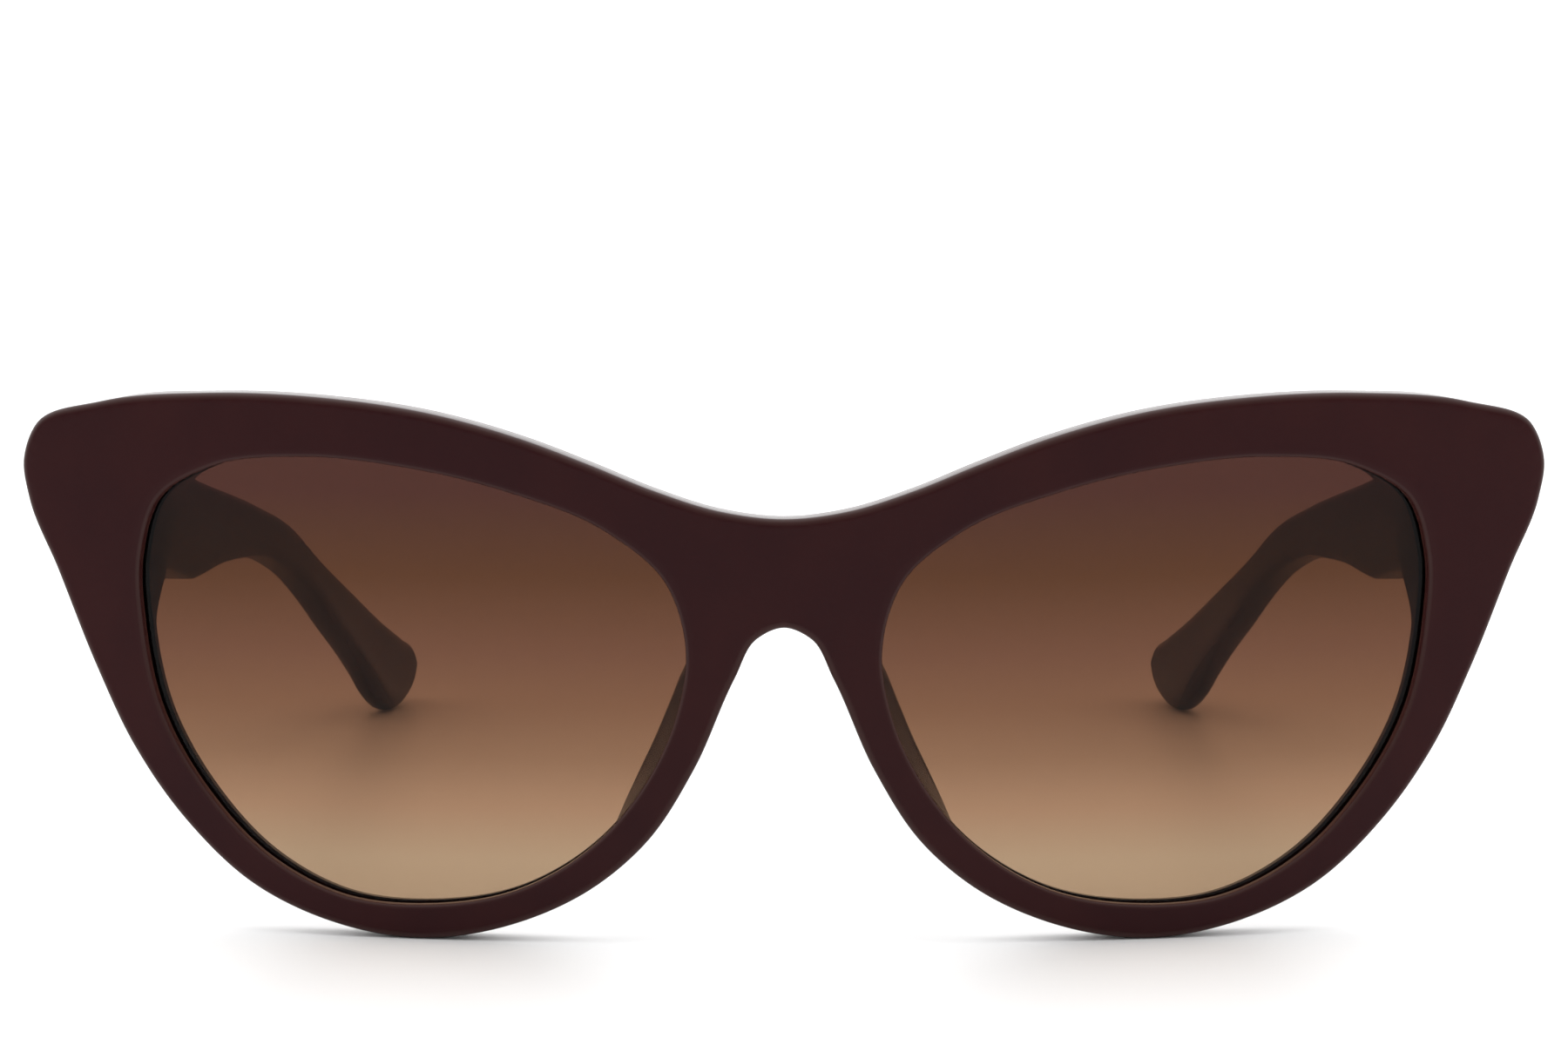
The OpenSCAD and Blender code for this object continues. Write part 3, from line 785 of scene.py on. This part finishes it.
def hinge_leaf(sizes):
    """The front's half of a hinge: a plate let into the wing and three knuckles on arms."""
    arm = ARM_SHARE * sizes.knuckle_radius
    pitch, height = knuckle_steps()
    proud = sizes.plate_proud
    patches = [block(
        (PIVOT[0] - arm, BUTT_Y - PLATE_SINK, HINGE_LOW[2]),
        (HINGE_HIGH[0], BUTT_Y + proud, HINGE_HIGH[2]), PLATE_EDGE)]
    bore = sizes.screw_radius + BORE_CLEARANCE
    for level in (0, 2, 4):
        low = HINGE_LOW[2] + level * pitch
        patches.append(barrel(level, bore, sizes))
        patches.append(block(
            (PIVOT[0] - arm, BUTT_Y - ARM_SINK, low),
            (PIVOT[0] + arm, PIVOT[1] - bore, low + height), ARM_EDGE))
    rivet_x = PIVOT[0] - arm + RIVET_SHARE * (HINGE_HIGH[0] - PIVOT[0] + arm)
    middle = (HINGE_LOW[2] + HINGE_HIGH[2]) / 2
    return patches + [
        rivet(np.array([rivet_x, BUTT_Y + proud, middle + step]), (0, 1, 0))
        for step in RIVET_STEPS]


def temple_leaf(sizes):
    """The temple's half of a hinge: a plate that slopes with the temple, and two knuckles."""
    arm = ARM_SHARE * sizes.knuckle_radius
    pitch, height = knuckle_steps()
    face = PIVOT[0] + (PIVOT[1] - BUTT_Y)  # the pivot is as far from the temple as from the wing
    start = PIVOT[1] - arm
    reach, slope = 9 * MM, -0.25
    middle = (HINGE_LOW[2] + HINGE_HIGH[2]) / 2
    half = (HINGE_HIGH[2] - HINGE_LOW[2]) / 2 - 0.4 * MM
    closing = 0.9  # how steeply TEMPLE_PLAN starts
    turn = math.atan(closing * (TEMPLE_HIGH[0] - sizes.temple_thickness - sizes.tip_gap / 2)
                     / (TEMPLE_HIGH[1] - TEMPLE_LOW[1]))

    def leaned(patch):
        """Slopes a patch down along the temple and turns it about the pivot."""
        points = patch[0] + 0
        points[..., 2] += slope * (points[..., 1] - start)
        return swung((points, patch[1]))

    def swung(patch):
        """Turns a patch about the pivot."""
        off = patch[0] - [PIVOT[0], PIVOT[1], 0]
        x = off[..., 0] * math.cos(turn) - off[..., 1] * math.sin(turn)
        y = off[..., 0] * math.sin(turn) + off[..., 1] * math.cos(turn)
        return np.stack([PIVOT[0] + x, PIVOT[1] + y, off[..., 2]], -1), patch[1]

    proud = sizes.plate_proud
    bore = sizes.screw_radius + BORE_CLEARANCE
    patches = [leaned(block(
        (face - proud, start, middle - half), (face + PLATE_SINK, start + reach, middle + half),
        PLATE_EDGE))]
    for level in (1, 3):
        low = HINGE_LOW[2] + level * pitch
        patches.append(barrel(level, bore, sizes))
        patches.append(swung(block(
            (PIVOT[0] + bore, PIVOT[1] - arm, low), (face + ARM_SINK, PIVOT[1] + arm, low + height),
            ARM_EDGE)))
    rivet_y = start + RIVET_SHARE * reach
    return patches + [
        leaned(rivet(np.array([face - proud, rivet_y, middle + step]), (-1, 0, 0)))
        for step in RIVET_STEPS]


def screw_shell(sizes):
    """The hinge screw: a shank and a low domed head, both turned, with a slot whose floor is
    where the head's height is cut to a level within half the slot's width of its middle."""
    axis = ((SCREW_LOW[0] + SCREW_HIGH[0]) / 2, (SCREW_LOW[1] + SCREW_HIGH[1]) / 2)
    bottom, shank_top, top = SCREW_LOW[2], HINGE_HIGH[2], SCREW_HIGH[2]
    shank, head = sizes.screw_radius, (SCREW_HIGH[0] - SCREW_LOW[0]) / 2
    turn = np.linspace(0, 2 * math.pi, 96, endpoint=False)[None, :]
    chamfer, dome, rim_fall = 0.1 * MM, 0.26 * MM, 0.3 * MM
    slot_half, slot_fall, slot_turn = 0.2 * MM, 0.4 * MM, 0.6
    share = np.linspace(0.97, 0, 28)  # of the head's radius, over its dome
    radius = np.array([
        0, shank - chamfer, shank, shank, head - chamfer / 2, head, head, *(head * share),
    ])[:, None]
    height = np.concatenate([
        [bottom, bottom, bottom + chamfer, shank_top, shank_top, shank_top + chamfer / 2,
         top - rim_fall],
        top - dome * share**2])[:, None]
    x, y = radius * np.cos(turn), radius * np.sin(turn)
    z = height + 0 * turn
    from_slot = np.abs(x * math.cos(slot_turn) + y * math.sin(slot_turn))
    on_dome = z > top - (rim_fall + dome) / 2
    z = np.where((from_slot < slot_half) & on_dome, top - slot_fall, z)
    return [(np.stack([axis[0] + x, axis[1] + y, z], -1), True)]


# ---------------------------------------------------------------- operators

class SUNGLASSES_OT_front(bpy.types.Operator):
    """Builds the wrapped acetate front with its rounded edges, lens grooves and hinge blocks"""
    bl_idname = "sunglasses.front"
    bl_label = "Front"

    def execute(self, context):
        patches = front_shell(context.scene.sunglasses_sizes)
        shape = piece("acetate_front", patches, sharp=50, attribute="edge")
        finish_piece(shape, FRONT, ["front_frame"], acetate(context))
        return {"FINISHED"}


class SUNGLASSES_OT_lenses(bpy.types.Operator):
    """Builds the two graded lenses that sit in the front's grooves"""
    bl_idname = "sunglasses.lenses"
    bl_label = "Lenses"

    def execute(self, context):
        patches = lens_shell(context.scene.sunglasses_sizes)
        for name, side in SIDES.items():
            shape = piece(f"graded_lens_{name}", patches, side, sharp=60)
            shape.visible_shadow = False
            finish_piece(shape, FRONT, [f"lens_{name}"],
                         shared("graded_lens", lens_material))
        return {"FINISHED"}


class SUNGLASSES_OT_pads(bpy.types.Operator):
    """Builds the two acetate nose pads on the rear of the rims"""
    bl_idname = "sunglasses.pads"
    bl_label = "Nose pads"

    def execute(self, context):
        patches = pad_shell(context.scene.sunglasses_sizes)
        for name, side in SIDES.items():
            shape = piece(f"saddle_pad_{name}", patches, side, sharp=60, attribute="edge")
            finish_piece(shape, FRONT, [f"nose_pad_{name}"], acetate(context))
        return {"FINISHED"}


class SUNGLASSES_OT_temples(bpy.types.Operator):
    """Builds the two temples, wide at the hinge and with a rounded paddle at the tip"""
    bl_idname = "sunglasses.temples"
    bl_label = "Temples"

    def execute(self, context):
        colours = context.scene.sunglasses_colours
        patches = temple_shell(context.scene.sunglasses_sizes)
        for name, side in SIDES.items():
            shape = piece(f"acetate_temple_{name}", patches, side, attribute="edge")
            finish_piece(shape, f"temple_{name}", [f"temple_{name}"], acetate(context))
            wire = frame["nodes"][f"core_wire_{name}"]
            core = shared("drawn_wire", lambda: steel_material(colours, "drawn_wire", 1800))
            wire.data.materials.clear()
            wire.data.materials.append(core)
        return {"FINISHED"}


class SUNGLASSES_OT_hinges(bpy.types.Operator):
    """Builds the five-knuckle hinges with their rivets and slotted screws"""
    bl_idname = "sunglasses.hinges"
    bl_label = "Hinges"

    def execute(self, context):
        sizes, colours = context.scene.sunglasses_sizes, context.scene.sunglasses_colours
        steel = shared("hinge_steel", lambda: steel_material(colours, "hinge_steel", 2400))
        for name, side in SIDES.items():
            for label, patches, body, nodes in (
                ("hinge_leaf_front", hinge_leaf(sizes), FRONT, ["front_hinge", "front_hinge_pins"]),
                ("hinge_leaf_temple", temple_leaf(sizes), f"temple_{name}",
                 ["temple_hinge", "temple_hinge_pins"]),
                ("slotted_screw", screw_shell(sizes), FRONT, ["hinge_screw"]),
            ):
                shape = piece(f"{label}_{name}", patches, side)
                replaced = [f"{node}_{name}" for node in nodes]
                finish_piece(shape, body, replaced, steel)
        return {"FINISHED"}


class SUNGLASSES_OT_stage(bpy.types.Operator):
    """Makes the pale floor, the soft lights and the camera"""
    bl_idname = "sunglasses.stage"
    bl_label = "Stage"

    def execute(self, context):
        scene = context.scene
        floor_z = CAD_BOX[0][2]
        reach = 30.0
        line = np.linspace(-reach, reach, 9)
        x, y = np.meshgrid(line, line)
        floor = piece("floor", [(np.stack([x, y, 0 * x + floor_z], -1), False)])
        floor.data.materials.append(floor_material(scene.sunglasses_colours))
        make_world(scene)
        make_light("overhead", (0, 0.05, 0.75), (0, -0.03, 0), (0.9, 0.7), 1.2)
        make_light("window", (-0.9, 0.15, 0.55), (0, 0, 0.03), (0.7, 0.7), 1.0)
        camera = bpy.data.objects.new("camera", bpy.data.cameras.new("camera"))
        camera.data.lens = 100
        camera.data.sensor_width = 36
        camera.data.clip_start = 0.01
        camera.data.clip_end = 200
        camera.rotation_euler = (math.radians(90 - CAMERA_TILT), 0, 0)
        camera.location = (0, FRONT_Y - CAMERA_BACK, floor_z + CAMERA_UP)
        scene.collection.objects.link(camera)
        scene.camera = camera
        scene.view_settings.view_transform = "Standard"
        return {"FINISHED"}


def make_light(name, place, target, size, power):
    """A soft rectangle of light that faces a point."""
    lamp = bpy.data.lights.new(name, "AREA")
    lamp.shape = "RECTANGLE"
    lamp.size, lamp.size_y = size
    lamp.energy = power
    made = bpy.data.objects.new(name, lamp)
    made.location = place
    made.rotation_euler = (Vector(target) - Vector(place)).to_track_quat("-Z", "Y").to_euler()
    bpy.context.scene.collection.objects.link(made)


def make_world(scene):
    """A white room, darker on the side in front of the glasses, so that their faces stay deep."""
    world = bpy.data.worlds.new("studio")
    scene.world = world
    world.use_nodes = True
    nodes, links = world.node_tree.nodes, world.node_tree.links
    background = nodes["Background"]
    spot = nodes.new("ShaderNodeTexCoord")
    split = nodes.new("ShaderNodeSeparateXYZ")
    ramp = nodes.new("ShaderNodeMapRange")
    ramp.interpolation_type = "SMOOTHSTEP"
    for name, value in {"From Min": -0.75, "From Max": 0.1, "To Min": 0.48, "To Max": 1.85}.items():
        ramp.inputs[name].default_value = value
    links.new(spot.outputs["Generated"], split.inputs["Vector"])
    links.new(split.outputs["Y"], ramp.inputs["Value"])
    links.new(ramp.outputs["Result"], background.inputs["Strength"])
    background.inputs["Color"].default_value = (1, 1, 1, 1)


class SUNGLASSES_PT_panel(bpy.types.Panel):
    """Lists the steps, the sizes and the colours"""
    bl_label = "Cat eye sunglasses"
    bl_idname = "SUNGLASSES_PT_panel"
    bl_space_type = "VIEW_3D"
    bl_region_type = "UI"
    bl_category = "Sunglasses"

    def draw(self, context):
        layout = self.layout
        for group in (context.scene.sunglasses_sizes, context.scene.sunglasses_colours):
            for name in group.__annotations__:
                layout.prop(group, name)
        for step in STEPS:
            layout.operator(step.bl_idname)


GROUPS = {"sunglasses_sizes": SunglassesSizes, "sunglasses_colours": SunglassesColours}
STEPS = (
    SUNGLASSES_OT_front, SUNGLASSES_OT_lenses, SUNGLASSES_OT_pads, SUNGLASSES_OT_temples,
    SUNGLASSES_OT_hinges, SUNGLASSES_OT_stage,
)
CLASSES = (*GROUPS.values(), *STEPS, SUNGLASSES_PT_panel)


def register():
    for each in CLASSES:
        bpy.utils.register_class(each)
    for name, group in GROUPS.items():
        setattr(bpy.types.Scene, name, bpy.props.PointerProperty(type=group))


def unregister():
    for name in GROUPS:
        delattr(bpy.types.Scene, name)
    for each in reversed(CLASSES):
        bpy.utils.unregister_class(each)


def main():
    """Builds every step."""
    register()
    bpy.ops.sunglasses.front()
    bpy.ops.sunglasses.lenses()
    bpy.ops.sunglasses.pads()
    bpy.ops.sunglasses.temples()
    bpy.ops.sunglasses.hinges()
    bpy.ops.sunglasses.stage()


if __name__ == "__main__":
    main()
